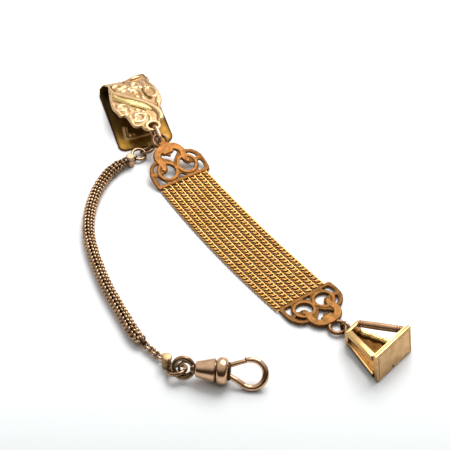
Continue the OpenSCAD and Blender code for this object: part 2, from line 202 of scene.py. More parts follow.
def cut_with(piece, tool, operation):
    """Cuts a piece with a tool, or joins the tool to it, and takes the tool away."""
    modifier = piece.modifiers.new("cut", "BOOLEAN")
    modifier.operation = operation
    modifier.solver = "MANIFOLD"
    modifier.object = tool
    bpy.context.view_layer.objects.active = piece
    bpy.ops.object.modifier_apply(modifier=modifier.name)
    bpy.data.objects.remove(tool)


def vertex_places(piece):
    """The piece's vertices as an array of rows."""
    places = np.empty(len(piece.data.vertices) * 3)
    piece.data.vertices.foreach_get("co", places)
    return places.reshape(-1, 3)


def near_line(flat, line):
    """Distance from each flat place to a line, and the share of the line's length at which it is nearest."""
    line = np.array([tuple(p)[:2] for p in line])
    best = np.full(len(flat), 1e9)
    share = np.zeros(len(flat))
    for i in range(len(line) - 1):
        a, b = line[i], line[i + 1]
        t = np.clip(((flat - a) @ (b - a)) / max((b - a) @ (b - a), 1e-12), 0, 1)
        d = np.hypot(*(flat - a - t[:, None] * (b - a)).T)
        nearer = d < best
        best[nearer] = d[nearer]
        share[nearer] = (i + t[nearer]) / (len(line) - 1)
    return best, share


sides_end = back_l - 0.6
blank_outline = (
    arc_points((back_left + left_corner, left_corner), left_corner, 180, 270)
    + arc_points((back_right - right_corner, right_corner), right_corner, 270, 360)
    + [Vector((back_right, sides_end))]
    + [Vector((p.x, along_blank(p.y))) for p in reversed(smooth_line(front_outline, 4))]
    + [Vector((back_left, sides_end))])
blank_top = along_blank(min(y for x, y in front_outline))
blank_w = 22
blank_l = blank_top + 2
blank_middle_x = -0.5
cell = 0.23
cutter_reach = 2
bpy.ops.mesh.primitive_grid_add(
    x_subdivisions=int(blank_w / cell), y_subdivisions=int(blank_l / cell), size=1)
clip = bpy.context.object
clip.name = "pocket_clip"
bpy.ops.object.mode_set(mode="EDIT")
bpy.ops.mesh.select_all(action="SELECT")
bpy.ops.transform.resize(value=(blank_w, blank_l, 1))
bpy.ops.transform.translate(value=(blank_middle_x, blank_top / 2, -sheet_t / 2))
bpy.ops.mesh.extrude_region_move(TRANSFORM_OT_translate={"value": (0, 0, sheet_t)})
bpy.ops.mesh.select_all(action="SELECT")
bpy.ops.mesh.normals_make_consistent(inside=False)
bpy.ops.object.mode_set(mode="OBJECT")
cut_with(clip, cut_block(blank_outline, -cutter_reach, cutter_reach), "INTERSECT")
eyelet_outline = arc_points((eyelet_at[0], along_blank(eyelet_at[1])), eyelet_r, 0, 345, 23)
cut_with(clip, cut_block(eyelet_outline, -cutter_reach, cutter_reach), "DIFFERENCE")


def mound(distance, half_width, height, power=0.6):
    """Height of a rounded swelling at a distance from its middle; a lower power gives a flatter top."""
    return height * np.clip(1 - (distance / half_width) ** 2, 0, 1) ** power


def grade(value, first, last):
    """Share from 0 to 1 of the way that a value is from first to last."""
    return np.clip((value - first) / (last - first), 0, 1)


def scroll(centre, start_r, end_r, start, sweep, steps=20):
    """A spiral line about a centre, from one radius and bearing in degrees round to another."""
    line = []
    for k in range(steps + 1):
        bearing = math.radians(start + sweep * k / steps)
        radius = start_r + (end_r - start_r) * k / steps
        line.append((centre[0] + radius * math.cos(bearing), centre[1] + radius * math.sin(bearing)))
    return line


ribbon_line = smooth_line([
    (-8.3, 31.5), (-7.7, 28.2), (-7.2, 25.7), (-5.3, 23.5), (-2.9, 21), (-0.4, 18.5), (1.8, 16.3),
    (3.7, 14.1), (5.2, 11.6), (6, 9.4), (6.3, 7.2), (5.8, 5.2)])
fluted_line = smooth_line([
    (-7.2, 23.6), (-6.3, 21.6), (-4.6, 19.5), (-2.3, 17.4), (0.1, 15.4), (2.1, 13.2), (3.9, 10.6)])
cartouche = [(6.3 + 1.9 * math.cos(a), 21.6 + 3.3 * math.sin(a)) for a in np.linspace(0, math.tau, 25)]
# Raised scroll stems of the front leaf: line, half width, height
stems = [
    (scroll((-1.6, 8), 3.2, 1.2, 150, 420), 0.85, 0.55),
    (scroll((-5.9, 14.4), 2.3, 0.9, 60, 300), 0.75, 0.55),
    (cartouche, 0.7, 0.6),
    (scroll((-4.4, 28.6), 2.5, 0.9, 200, -330), 0.7, 0.5),
    (scroll((1.6, 28.6), 2.3, 0.8, 210, 330), 0.7, 0.5),
    (smooth_line([(-8.2, 18.6), (-7, 17.2), (-5.2, 16.9), (-3.7, 15.2), (-3.4, 12.6)]), 0.75, 0.5),
    (smooth_line([(8, 18.6), (7.6, 16.4), (7, 14.4)]), 0.8, 0.5),
    (smooth_line([(-0.6, 24.8), (1.2, 25.1), (2.6, 23.6), (3, 21.4), (2.7, 19)]), 0.75, 0.5),
    (smooth_line([(-3.6, 25.6), (-2.2, 26), (-1, 25)]), 0.6, 0.4),
    (smooth_line([(1, 9.5), (2, 8.4), (2.5, 6.9), (2.1, 5.6)]), 0.6, 0.45),
    (smooth_line([(4.2, 31), (5.4, 28.4), (5.2, 25.8)]), 0.75, 0.5)]
# Beads and leaf tips: x, y, radius, height
beads = [(3.3, 26.6, 1.0, 0.55), (0.7, 23.6, 0.85, 0.55), (0.6, 7.4, 0.8, 0.5), (-2.9, 7.2, 0.9, 0.6),
         (-6.1, 14.1, 1.0, 0.55), (-3.8, 12.9, 0.7, 0.45), (-5.5, 11.2, 0.9, 0.45), (-2, 28.9, 1.0, 0.5),
         (1.4, 30.6, 1.0, 0.45), (-0.9, 26.5, 0.6, 0.35), (2.9, 17.2, 0.6, 0.35), (-1.2, 12.4, 0.8, 0.4),
         (0.6, 10.6, 0.7, 0.4), (7.6, 26.4, 0.7, 0.4), (0.8, 20.6, 0.7, 0.35), (-1, 14.2, 0.5, 0.3)]
# Dark lines left unpolished: line, half width
dark_lines = [
    (smooth_line([(-6.1, 26.6), (-6.6, 29.8), (-4.8, 32.6)]), 0.45), ([(4.7, 18.6), (5.1, 17.8)], 0.6),
    (smooth_line([(4, 25.4), (3.6, 22.4), (4.2, 19.6)]), 0.3),
    (smooth_line([(-8, 20.6), (-5.6, 18), (-3, 15.6), (-0.4, 13.4), (1.6, 11.2)]), 0.32)]
# Stop pressed into the back leaf: a ridge along a V, and a boss beside it
vee_line = [(-6.2, 11.6), (-6.95, 5.3), (1.8, 6.2)]
boss_at = (-4.8, 7.1)
ribbon_half_w = 1.2
flute_waves = 1.5
rib_waves = 23
groove_gap = 0.1
groove_deep = 0.25
stipple_high = 0.05
edge_w = 0.4
eyelet_rim_r = 2.3
eyelet_collar_r = 2.9

# Across the blank, along it, and through its thickness
x, s, t = vertex_places(clip).T
on_back = s < back_l
on_front = s > front_from
leaf_bearing = math.pi / 2 - leaf_rise + (s - front_from) / leaf_r
y = np.where(on_front, leaf_centre.x + leaf_r * np.cos(leaf_bearing), s)
flat = np.stack([x, y], 1)
to_edge = near_line(np.stack([x, s], 1), blank_outline + blank_outline[:1])[0]
to_eyelet = np.hypot(x - eyelet_at[0], y - eyelet_at[1])
# Height of the embossing, and of the stop on the back leaf
ribbon_d = near_line(flat, ribbon_line)[0]
ribbon = mound(ribbon_d, ribbon_half_w, height=0.75)
fluted_d, fluted_share = near_line(flat, fluted_line)
fluted_w = np.interp(fluted_share, (0, 0.15, 0.5, 0.8, 1), (0.4, 0.9, 1.35, 1.15, 0.3))
flutes = np.cos(fluted_d / fluted_w * flute_waves * math.pi) ** 2 * (fluted_share < 0.5)
ribs = np.cos(fluted_share * rib_waves * math.pi) ** 2 * (fluted_share >= 0.5)
fluted = 0.55 * np.clip(1 - (fluted_d / fluted_w) ** 4, 0, 1) ** 0.5 * (0.45 + 0.55 * flutes + 0.55 * ribs)
raised_stems = [mound(near_line(flat, line)[0], half_w, high) for line, half_w, high in stems]
raised_beads = [
    mound(np.hypot(x - bead_x, y - bead_y), r, high, power=0.5) for bead_x, bead_y, r, high in beads]
scrollwork = np.max(raised_stems + raised_beads, 0)
ribbon_side = np.exp(-((ribbon_d - ribbon_half_w - groove_gap) / 0.22) ** 2)
fluted_side = np.exp(-((fluted_d - fluted_w) / 0.2) ** 2) * (fluted_share > 0.02)
grooved = ribbon_side + fluted_side
clear = (ribbon_d > ribbon_half_w + groove_gap) & (fluted_d > fluted_w + groove_gap)
unpolished = np.max([np.exp(-(near_line(flat, line)[0] / half_w) ** 2) for line, half_w in dark_lines], 0)
random = np.random.default_rng(7)
stipple = stipple_high * random.standard_normal(len(x)) * (scrollwork < 0.03)
relief = np.where(clear, scrollwork + stipple, np.maximum(ribbon, fluted))
relief -= groove_deep * np.clip(grooved + unpolished, 0, 1) * (np.maximum(ribbon, fluted) < 0.3)
rim = mound(to_edge - 0.6, half_width=0.65, height=0.45, power=0.7)
eyelet_rim = mound(to_eyelet - eyelet_rim_r, half_width=0.62, height=0.35, power=0.5)
relief = np.where(to_eyelet < 3, np.maximum(eyelet_rim, 0.2 * relief), np.maximum(relief, rim))
fade = grade(s, front_from, front_from + 2)
boss = mound(np.hypot(x - boss_at[0], y - boss_at[1]), half_width=1.3, height=0.7, power=1)
vee = mound(near_line(flat, vee_line)[0], half_width=0.95, height=0.62, power=1.5) + boss
edge_round = 0.35 + 0.65 * np.sqrt(1 - (1 - grade(to_edge, 0, edge_w)) ** 2)
t = t * edge_round + np.where(on_front, relief * fade, 0) - np.where(on_back & (t < 0), vee, 0)
# Folding: the back leaf stays flat, the bend goes round, and the front leaf lies on its long curve
bend_bearing = (s - back_l) / bend_r - math.pi / 2
folded_y = np.where(on_back, s, np.where(
    on_front, leaf_centre.x + (leaf_r + t) * np.cos(leaf_bearing),
    back_l + (bend_r + t) * np.cos(bend_bearing)))
folded_z = np.where(on_back, sheet_t / 2 - t, np.where(
    on_front, leaf_centre.y + (leaf_r + t) * np.sin(leaf_bearing),
    fold_r + (bend_r + t) * np.sin(bend_bearing)))
clip.data.vertices.foreach_set("co", np.stack([x, folded_y, folded_z], 1).ravel())
# Polished metal, tarnish in the hollows, painted shade on the inside face towards the fold, and the faces of
# the inside, which is gilt
shine = clip.data.attributes.new("shine", "FLOAT", "POINT")
polished_band = on_front & (t > 0) & (ribbon_d > 1) & (fluted_d < fluted_w)
polished_vee = 0.8 * grade(vee, 0, 0.45) * (on_back & (t < 0))
shine.data.foreach_set("value", np.maximum(polished_band, polished_vee))
past_collar = to_eyelet > eyelet_collar_r
ground = 0.4 * (1 - grade(scrollwork, 0, 0.25)) * clear * (to_edge > 0.8) * past_collar
in_grooves = 0.85 * np.clip(grooved * past_collar, 0, 1)
front_tarnish = np.where(t > 0, np.clip(ground + in_grooves + unpolished, 0, 1) * fade, 1)
# The inside face darkens towards the fold, as painted shade under the front leaf, and darkens at its edges;
# its ridge stays lighter
inner_tarnish = np.clip(0.1 + s / 34 + np.exp(-to_edge / 0.6) - 1.5 * np.clip(vee, 0, 0.3), 0, 1)
tarnish = clip.data.attributes.new("tarnish", "FLOAT", "POINT")
back_tarnish = np.where(t < 0, inner_tarnish, 0.75 * on_back)
tarnish.data.foreach_set("value", np.where(on_front, front_tarnish, back_tarnish))
corners = np.empty(len(clip.data.loops), int)
clip.data.loops.foreach_get("vertex_index", corners)
first_corners = np.empty(len(clip.data.polygons), int)
clip.data.polygons.foreach_get("loop_start", first_corners)
inside = np.minimum.reduceat(((s < back_l + 1.5) & (t < 0))[corners].astype(int), first_corners)


def pick(piece):
    """Selects one piece only, and makes it the active one."""
    bpy.ops.object.select_all(action="DESELECT")
    piece.select_set(True)
    bpy.context.view_layer.objects.active = piece


def set_down(piece, place):
    """Moves a piece modelled in millimetres to its place on the table and fixes it there."""
    pick(piece)
    piece.matrix_world = Matrix.Scale(MM, 4) @ place @ piece.matrix_world
    bpy.ops.object.transform_apply(location=True, rotation=True, scale=True)


def join_all(pieces):
    """Makes one piece of several, with the first one's name."""
    bpy.ops.object.select_all(action="DESELECT")
    for piece in pieces:
        piece.select_set(True)
    bpy.context.view_layer.objects.active = pieces[0]
    bpy.ops.object.join()
    return pieces[0]


def wire(name, points, thickness, closed=False, sides=3):
    """A round wire along points, as a mesh; thickness is one diameter or one for each point."""
    bpy.ops.curve.primitive_bezier_circle_add(location=(0, 0, 0))
    piece = bpy.context.object
    piece.name = name
    piece.data.splines.clear()
    spline = piece.data.splines.new("POLY")
    spline.points.add(len(points) - 1)
    spline.use_cyclic_u = closed
    for i, (point, place) in enumerate(zip(spline.points, points)):
        point.co = (*place, 1)
        point.radius = (thickness[i] if isinstance(thickness, (list, tuple)) else thickness) / 2
    piece.data.dimensions = "3D"
    piece.data.bevel_depth = 1
    piece.data.bevel_resolution = sides
    piece.data.use_fill_caps = True
    piece.select_set(True)
    bpy.ops.object.convert(target="MESH")
    return bpy.context.object


def mark(piece, **values):
    """Marks a whole piece with attributes that its material reads: tarnish and painted shade, or polish and
    painted highlights.
    """
    for name, value in values.items():
        layer = piece.data.attributes.new(name, "FLOAT", "POINT")
        layer.data.foreach_set("value", np.full(len(piece.data.vertices), float(value)))


def finish_with(piece, *finishes):
    """Clears the materials that the modelling has left, and gives a piece its own."""
    piece.data.materials.clear()
    for finish in finishes:
        piece.data.materials.append(finish)


def worn_gold(name, bright, dull, tarnish, roughness, recess, recess_amount=0.9, cloud_size=2.5, extra=None,
              polish_and_highlight_colour=None):
    """Rolled gold: two close tones in clouds, fine wear scratches, and a dark tarnish colour mixed in where
    ambient occlusion finds recesses, which is patina and painted shade both. Lengths are in millimetres. An
    extra attribute adds more of that dark colour, as tarnish and in places painted shade, and a second
    attribute marks polished metal and painted highlights with a brighter colour."""
    material = bpy.data.materials.new(name)
    material.use_nodes = True
    nodes = material.node_tree.nodes
    link = material.node_tree.links.new
    shader = nodes["Principled BSDF"]
    shader.inputs["Metallic"].default_value = 1
    place = nodes.new("ShaderNodeTexCoord")
    clouds = nodes.new("ShaderNodeTexNoise")
    clouds.inputs["Scale"].default_value = 1 / (cloud_size * MM)
    clouds.inputs["Detail"].default_value = 4
    link(place.outputs["Object"], clouds.inputs["Vector"])
    tones = nodes.new("ShaderNodeValToRGB")
    two_tones(tones, 0.35, dull, 0.62, bright)
    link(clouds.outputs["Fac"], tones.inputs["Fac"])
    # Patina and painted shade: the dark tarnish colour is mixed in where ambient occlusion finds recesses
    hollow = nodes.new("ShaderNodeAmbientOcclusion")
    hollow.samples = 8
    hollow.inputs["Distance"].default_value = recess * MM
    depth = nodes.new("ShaderNodeMapRange")
    depth.inputs["From Min"].default_value = 0.25
    depth.inputs["From Max"].default_value = 0.85
    depth.inputs["To Min"].default_value = recess_amount
    depth.inputs["To Max"].default_value = 0
    link(hollow.outputs["AO"], depth.inputs["Value"])
    amount = depth.outputs["Result"]
    if extra:
        attribute = nodes.new("ShaderNodeAttribute")
        attribute.attribute_name = extra
        more = nodes.new("ShaderNodeMath")
        more.operation = "MAXIMUM"
        link(amount, more.inputs[0])
        link(attribute.outputs["Fac"], more.inputs[1])
        amount = more.outputs["Value"]
    coat = nodes.new("ShaderNodeMix")
    coat.data_type = "RGBA"
    link(amount, coat.inputs["Factor"])
    link(tones.outputs["Color"], coat.inputs["A"])
    coat.inputs["B"].default_value = (*tarnish, 1)
    colour = coat.outputs["Result"]
    if polish_and_highlight_colour:
        shine_mark = nodes.new("ShaderNodeAttribute")
        shine_mark.attribute_name = "shine"
        polish_and_highlight_mix = nodes.new("ShaderNodeMix")
        polish_and_highlight_mix.data_type = "RGBA"
        link(shine_mark.outputs["Fac"], polish_and_highlight_mix.inputs["Factor"])
        link(colour, polish_and_highlight_mix.inputs["A"])
        polish_and_highlight_mix.inputs["B"].default_value = (*polish_and_highlight_colour, 1)
        colour = polish_and_highlight_mix.outputs["Result"]
    link(colour, shader.inputs["Base Color"])
    scratches = nodes.new("ShaderNodeTexNoise")
    scratches.inputs["Scale"].default_value = 1 / (0.35 * MM)
    scratches.inputs["Detail"].default_value = 3
    link(place.outputs["Object"], scratches.inputs["Vector"])
    polish = nodes.new("ShaderNodeMapRange")
    polish.inputs["To Min"].default_value = roughness * 0.7
    polish.inputs["To Max"].default_value = roughness * 1.4
    link(scratches.outputs["Fac"], polish.inputs["Value"])
    dulled = nodes.new("ShaderNodeMath")
    dulled.operation = "MULTIPLY_ADD"
    dulled.inputs[1].default_value = 0.3
    link(amount, dulled.inputs[0])
    link(polish.outputs["Result"], dulled.inputs[2])
    link(dulled.outputs["Value"], shader.inputs["Roughness"])
    bump = nodes.new("ShaderNodeBump")
    bump.inputs["Strength"].default_value = 0.15
    bump.inputs["Distance"].default_value = 0.05 * MM
    link(scratches.outputs["Fac"], bump.inputs["Height"])
    link(bump.outputs["Normal"], shader.inputs["Normal"])
    return material


flap_outline = [(-2, -1), (7.5, -1), (6.7, 3.4), (4.4, 3), (2, 2), (-0.6, 0.2)]
flap = cut_block(flap_outline, low=-0.5, high=0)
flap_edge_line = [(-1.6, -0.4), (-0.4, 0.2), (2, 1.8), (4.4, 2.8), (6.5, 3.1), (7, 1.4), (7.3, -0.6)]
flap_edge = wire("flap edge", [(*p, -0.1) for p in smooth_line(flap_edge_line, 4)], thickness=0.9, sides=2)
mark(flap_edge, tarnish=0.6)
flap_swell_line = [(1.2, 0.2), (3, 0.9), (5.6, 1.5)]
flap_swell_widths = [0.5, 1, 1.4, 1.6, 1.7, 1.6, 1.4, 1.1, 0.5]
flap_swell = wire(
    "flap swell", [(*p, 0) for p in smooth_line(flap_swell_line, 4)], flap_swell_widths, sides=2)
flap = join_all([flap, flap_edge, flap_swell])
flap.matrix_world = (Matrix.Translation((0, leaf_start.x, leaf_start.y + sheet_t / 2 + 0.1))
                     @ Matrix.Rotation(-leaf_rise, 4, "X"))
lug_r = 1.1
lug_wire = 0.85
lug_line = [(0, lug_r * math.cos(a), lug_r * math.sin(a)) for a in bearings_round(32)]
lug = wire("lug", lug_line, lug_wire, closed=True)
lug.matrix_world = put((-0.2, -1.35, 1.55), -20, "Y")
lug_foot = wire("lug foot", [(0, -0.55, 0.6), (0, 0.8, 0.4)], thickness=0.7)
mark(lug, tarnish=0.7)
mark(lug_foot, tarnish=0.7)
clip = join_all([clip, flap, lug, lug_foot])
clip.name = "pocket_clip"
embossed_gold = worn_gold(
    "embossed gold", (0.70, 0.46, 0.26), (0.58, 0.37, 0.175), (0.125, 0.066, 0.010),
    roughness=0.35, recess=0.8, recess_amount=0.7, extra="tarnish", polish_and_highlight_colour=(0.78, 0.60, 0.25))
gilt_inside = worn_gold(
    "gilt inside", (0.46, 0.25, 0.048), (0.31, 0.158, 0.023), (0.03, 0.013, 0.003),
    roughness=0.35, recess=2, extra="tarnish", polish_and_highlight_colour=(0.46, 0.29, 0.14))
finish_with(clip, embossed_gold, gilt_inside)
leaf_of_face = np.zeros(len(clip.data.polygons), int)
leaf_of_face[:len(inside)] = inside
clip.data.polygons.foreach_set("material_index", leaf_of_face)
set_down(clip, clip_place)
bpy.ops.object.shade_smooth_by_angle(angle=math.radians(50))
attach(clip, "chain")
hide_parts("clip")

# Hanger link: one oval link of plain pinkish gold wire, bent round and soldered shut. It goes through
# the clip's eyelet and hangs down to the top plate's loop.
ring_gold = worn_gold(
    "ring gold", (0.42, 0.265, 0.15), (0.19, 0.105, 0.05), (0.022, 0.009, 0.003),
    roughness=0.22, recess=1.8, recess_amount=1.0, cloud_size=1.6)
table_gap = 0.02


def own_copy(source, name):
    """A copy of a piece with a mesh of its own, picked for the next steps."""
    piece = source.copy()
    piece.data = source.data.copy()
    piece.name = name
    bpy.context.scene.collection.objects.link(piece)
    pick(piece)
    return piece


def fuller_copy(node, swell):
    """A piece made from a CAD node's shape, with its wire thickened on every side."""
    piece = own_copy(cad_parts[node], node.replace("_", "_wire_"))
    bpy.ops.object.mode_set(mode="EDIT")
    bpy.ops.mesh.select_all(action="SELECT")
    bpy.ops.mesh.remove_doubles(threshold=1e-6)
    bpy.ops.transform.shrink_fatten(value=swell * MM)
    bpy.ops.object.mode_set(mode="OBJECT")
    bpy.ops.object.shade_smooth_by_angle(angle=math.radians(40))
    for vertex in piece.data.vertices:
        vertex.co.z = max(vertex.co.z, table_gap * MM)
    finish_with(piece, ring_gold)
    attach(piece, "chain")
    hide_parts(node)
    return piece


link_gold = worn_gold(
    "pinkish link gold", (0.60, 0.385, 0.26), (0.38, 0.225, 0.14), (0.035, 0.015, 0.005),
    roughness=0.38, recess=1.4, cloud_size=1.6)
finish_with(fuller_copy("clip_ring", swell=0.24), link_gold)

# Top and bottom plate: cast scrollwork of coppery gold, pierced through, with a rod along the base
# that the strands hook on and a wire loop soldered under the end lobe.
loop_gold = worn_gold(
    "dull loop gold", (0.25, 0.13, 0.065), (0.125, 0.060, 0.027), (0.02, 0.009, 0.003),
    roughness=0.35, recess=1.6, recess_amount=1.0)
top_gold = worn_gold(
    "coppery gold", (0.37, 0.155, 0.043), (0.20, 0.087, 0.025), (0.07, 0.036, 0.011),
    roughness=0.52, recess=0.9, recess_amount=0.8, cloud_size=1.7, extra="tarnish")
bottom_gold = worn_gold(
    "darker coppery gold", (0.26, 0.113, 0.033), (0.152, 0.072, 0.021), (0.05, 0.028, 0.009),
    roughness=0.52, recess=0.9, recess_amount=0.8, cloud_size=1.7, extra="tarnish")
loop_at = (0, 17.2, -0.3)
loop_r = 2.55
loop_wire = 1.4
rod_over_table = (0, 0, 0.65)
cast_cell = 0.13


def flat_band(points, wide, top):
    """A flat-topped band with rounded sides along points; top is half its thickness."""
    band = wire("band", [(*tuple(p)[:2], 0) for p in points], wide)
    for vertex in band.data.vertices:
        vertex.co.z = max(-top, min(top, 2.2 * vertex.co.z))
    return band


# Bands of one half of a plate, from its middle: line, width, and half the thickness at its top
plate_bands = [
    (smooth_line([(10, 0.5), (10.15, 3), (10, 5.4), (9.3, 7.6), (7.8, 9.3), (6.1, 9.9)], 4), 1.1, 0.5),
    (arc_points((3.9, 5.1), 3.35, 100, 430, 28), 1.25, 0.62),
    (smooth_line([(7, 5), (8.3, 5.6), (9.8, 5.4)], 4), 1.0, 0.5)]
stem_line = smooth_line([
    (-0.6, 13.7), (2.2, 13.5), (3.8, 12.6), (4.75, 10.9), (4.6, 9), (4.3, 7.6), (4.7, 6.4), (5.3, 5.9)], 4)
stem_widths = list(np.interp(
    np.linspace(0, 1, len(stem_line)), (0, 0.2, 0.4, 0.62, 0.82, 1), (3.4, 3.1, 2.7, 2.6, 2.0, 1.5)))
plate_bands.append((stem_line, stem_widths, 0.68))
loop_line = [(loop_at[0] + loop_r * math.cos(a), loop_at[1] + loop_r * math.sin(a), loop_at[2])
             for a in bearings_round(40)]
# Each plate: CAD node, place, gold, and how far from its rod the loop's own gold starts
plates = [
    ("top_plate", put((-0.15, 67.35, 0), -3) @ put(rod_over_table, 20.5, "X"), top_gold, 16.4),
    ("bottom_plate", put((-0.15, -0.35, 0), 180) @ put(rod_over_table, 3, "X"), bottom_gold, 15.1)]
for node, lies_at, plate_gold, bare_from in plates:
    place = laid_out @ lies_at
    # Along the rod, and across the middle of the centre lobe
    bands = [flat_band([(-10.1, 0.4), (10.1, 0.4)], wide=1.2, top=0.5),
             flat_band([(-1.9, 12.6), (1.9, 12.6)], wide=3, top=0.68)]
    for side in (-1, 1):
        for line, wide, top in plate_bands:
            bands.append(flat_band([(side * p[0], p[1]) for p in line], wide, top))
    bands.append(wire("loop", loop_line, loop_wire, closed=True))
    if node == "top_plate":
        # A pad of solder fills the foot of the loop
        bands.append(flat_band([(-1.3, 15.5), (1.3, 15.5)], wide=2.2, top=0.5))
    plate = join_all(bands)
    plate.name = node.replace("_", "_pierced_")
    set_down(plate, place)
    plate = join_all([plate, own_copy(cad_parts[node], "sheet")])
    bpy.ops.object.mode_set(mode="EDIT")
    bpy.ops.mesh.select_all(action="SELECT")
    bpy.ops.mesh.remove_doubles(threshold=1e-7)
    bpy.ops.object.mode_set(mode="OBJECT")
    cast = plate.modifiers.new("cast", "REMESH")
    cast.mode = "VOXEL"
    cast.voxel_size = cast_cell * MM
    bpy.ops.object.modifier_apply(modifier=cast.name)
    worn = plate.modifiers.new("worn", "SMOOTH")
    worn.factor = 0.5
    worn.iterations = 3
    bpy.ops.object.modifier_apply(modifier=worn.name)
    bpy.ops.object.shade_smooth()
    finish_with(plate, plate_gold, loop_gold)
    to_plate = (Matrix.Scale(MM, 4) @ place).inverted()
    low_metal = plate.data.attributes.new("tarnish", "FLOAT", "POINT")
    low_metal.data.foreach_set("value", [0.5 * min(1, max(0, 0.66 - abs((to_plate @ vertex.co).z)) / 0.4)
                                         for vertex in plate.data.vertices])
    for face in plate.data.polygons:
        at = to_plate @ face.center
        near_loop = math.hypot(at.x - loop_at[0], at.y - loop_at[1]) < loop_r + loop_wire / 2 + 0.1
        face.material_index = int(near_loop and at.y > bare_from)
    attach(plate, "chain")
    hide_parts(node)

# Strands: eight fine curb chains of yellow gold side by side. Each link is an oval of wire, twisted so
# that it lies flat, and hooks the next one.
strand_count = 8
strand_l = 66.9
strand_z = 0.7
link_count = 42
link_pitch = 1.63
link_wire = 0.74
link_w = 2.62
link_slant = math.radians(24)
link_twist = math.radians(-40)
strand_gold = worn_gold(
    "strand gold", (0.71, 0.387, 0.122), (0.57, 0.29, 0.074), (0.075, 0.03, 0.005),
    roughness=0.28, recess=0.8, recess_amount=1.0)
# Three rows across the strands: how far up each is, where its middle lies, and the pitch there
row_y = (0, 33.85, 67.7)
row_x = (-1.45, -2.25, -0.75)
row_pitch = (2.53, 2.52, 2.38)


def through_rows(v, y):
    """Value at y of a curve through the three rows."""
    a, b, c = row_y
    return (v[0] * (y - b) * (y - c) / ((a - b) * (a - c)) + v[1] * (y - a) * (y - c) / ((b - a) * (b - c))
            + v[2] * (y - a) * (y - b) / ((c - a) * (c - b)))


def lay_links(link, count, pitch, route, name, width=None):
    """Repeats a link along X and lays the row along a route of points; the link is modelled at the origin.
    The width, if given, scales the row across by the distance along it."""
    row = own_copy(link, name)
    array = row.modifiers.new("row", "ARRAY")
    array.use_relative_offset = False
    array.use_constant_offset = True
    array.constant_offset_displace = (pitch, 0, 0)
    array.count = count
    bpy.ops.object.modifier_apply(modifier=array.name)
    route = np.array([tuple(p) for p in route])
    lengths = np.concatenate([[0], np.cumsum(np.hypot(*np.diff(route[:, :2], axis=0).T))])
    places = vertex_places(row)
    if width:
        places[:, 1:] *= width(places[:, 0])[:, None]
    at = np.clip(places[:, 0], 0, lengths[-1])
    over = places[:, 0] - at
    before, middle, ahead = [
        np.stack([np.interp(at + step, lengths, column) for column in route.T], 1) for step in (-0.4, 0, 0.4)]
    forward = (ahead - before) / np.linalg.norm(ahead - before, axis=1, keepdims=True)
    side = np.stack([-forward[:, 1], forward[:, 0], np.zeros(len(forward))], 1)
    up = np.cross(forward, side)
    laid = middle + forward * over[:, None] + side * places[:, 1:2] + up * places[:, 2:3]
    row.data.vertices.foreach_set("co", laid.ravel())
    return row


torus_wire = 0.6
bpy.ops.mesh.primitive_torus_add(
    major_segments=13, minor_segments=5, major_radius=1, minor_radius=torus_wire / 2)
curb_link = bpy.context.object
for vertex in curb_link.data.vertices:
    across = Vector((vertex.co.x, vertex.co.y, 0))
    outward = across.normalized()
    tube = vertex.co - outward
    bar = Vector((outward.x * (link_pitch + link_wire) / 2, outward.y * (link_w - link_wire) / 2, 0))
    vertex.co = bar + tube * (link_wire / torus_wire)
    vertex.co.x += math.tan(link_slant) * vertex.co.y
    turn = link_twist * vertex.co.x / (link_pitch / 2 + link_wire)
    vertex.co = Matrix.Rotation(turn, 3, "X") @ vertex.co
    vertex.co.z *= 0.75
pick(curb_link)
bpy.ops.object.shade_smooth()
for i in range(1, strand_count + 1):
    from_middle = i - (strand_count + 1) / 2
    route = [(through_rows(row_x, y) + from_middle * through_rows(row_pitch, y), y, strand_z)
             for y in np.linspace(0, strand_l, 24)]
    strand = lay_links(curb_link, link_count, link_pitch, route, f"curb_chain_{i}")
    set_down(strand, laid_out)
    strand.data.materials.append(strand_gold)
    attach(strand, "chain")
    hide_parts(f"strand_{i}")
bpy.data.objects.remove(curb_link)

# Seal ring: a round jump ring of plain gold wire. It stands on edge between the bottom plate's loop and
# the seal's bail, and holds the seal.
fuller_copy("seal_ring", swell=0.14)

# Seal: a bevelled tablet on four legs under a small yoke, with a bail on a turned knob. All parts are of
# yellow gold, soldered into one piece. It lies on its side, and a brown panel closes the lower side. The
# panel and the plain leg are coloured dark brown, which is tarnish and painted shade inside the frame
# together.
# Its brighter colour paints highlights on the knob, the flat leg and the beads
seal_gold = worn_gold(
    "seal gold", (0.57, 0.345, 0.155), (0.45, 0.265, 0.10), (0.075, 0.032, 0.005),
    roughness=0.25, recess=1.2, extra="tarnish", polish_and_highlight_colour=(0.86, 0.60, 0.20))
rod_gold = worn_gold(
    "rosy rod gold", (0.50, 0.29, 0.16), (0.41, 0.225, 0.115), (0.07, 0.03, 0.008),
    roughness=0.3, recess=1.2)
# The panel and the plain leg take a very dark brown, which paints the shade inside the seal's frame along
# with their tarnish
panel_gold_and_painted_shade = worn_gold(
    "brown panel gold and painted shade", (0.16, 0.074, 0.019), (0.105, 0.045, 0.010), (0.03, 0.011, 0.002),
    roughness=0.4, recess=1.2, cloud_size=1.7)
tablet_l = 17.2
tablet_w = 10.5
seal_bearing = 12.4
seal_lean = -98.2
seal_place = (laid_out @ put((4.85, -39.86, 0.24), seal_bearing) @ put((0, 0, 0), seal_lean, "X")
              @ put((0, -tablet_w / 2, 0)))
tablet_rim = 1.2
tablet_t = 2.2
rim_slope = (0.62, 0.2)
rim_edge = 0.12
groove_w = 0.1
groove_deep = 0.22
step_in = 0.7
step_out = 0.45
step_h = 0.3
yoke_size = (6.8, 5.5, 1.3)
yoke_top = 16.9
yoke_under = yoke_top - yoke_size[2]
leg_l = 14.6


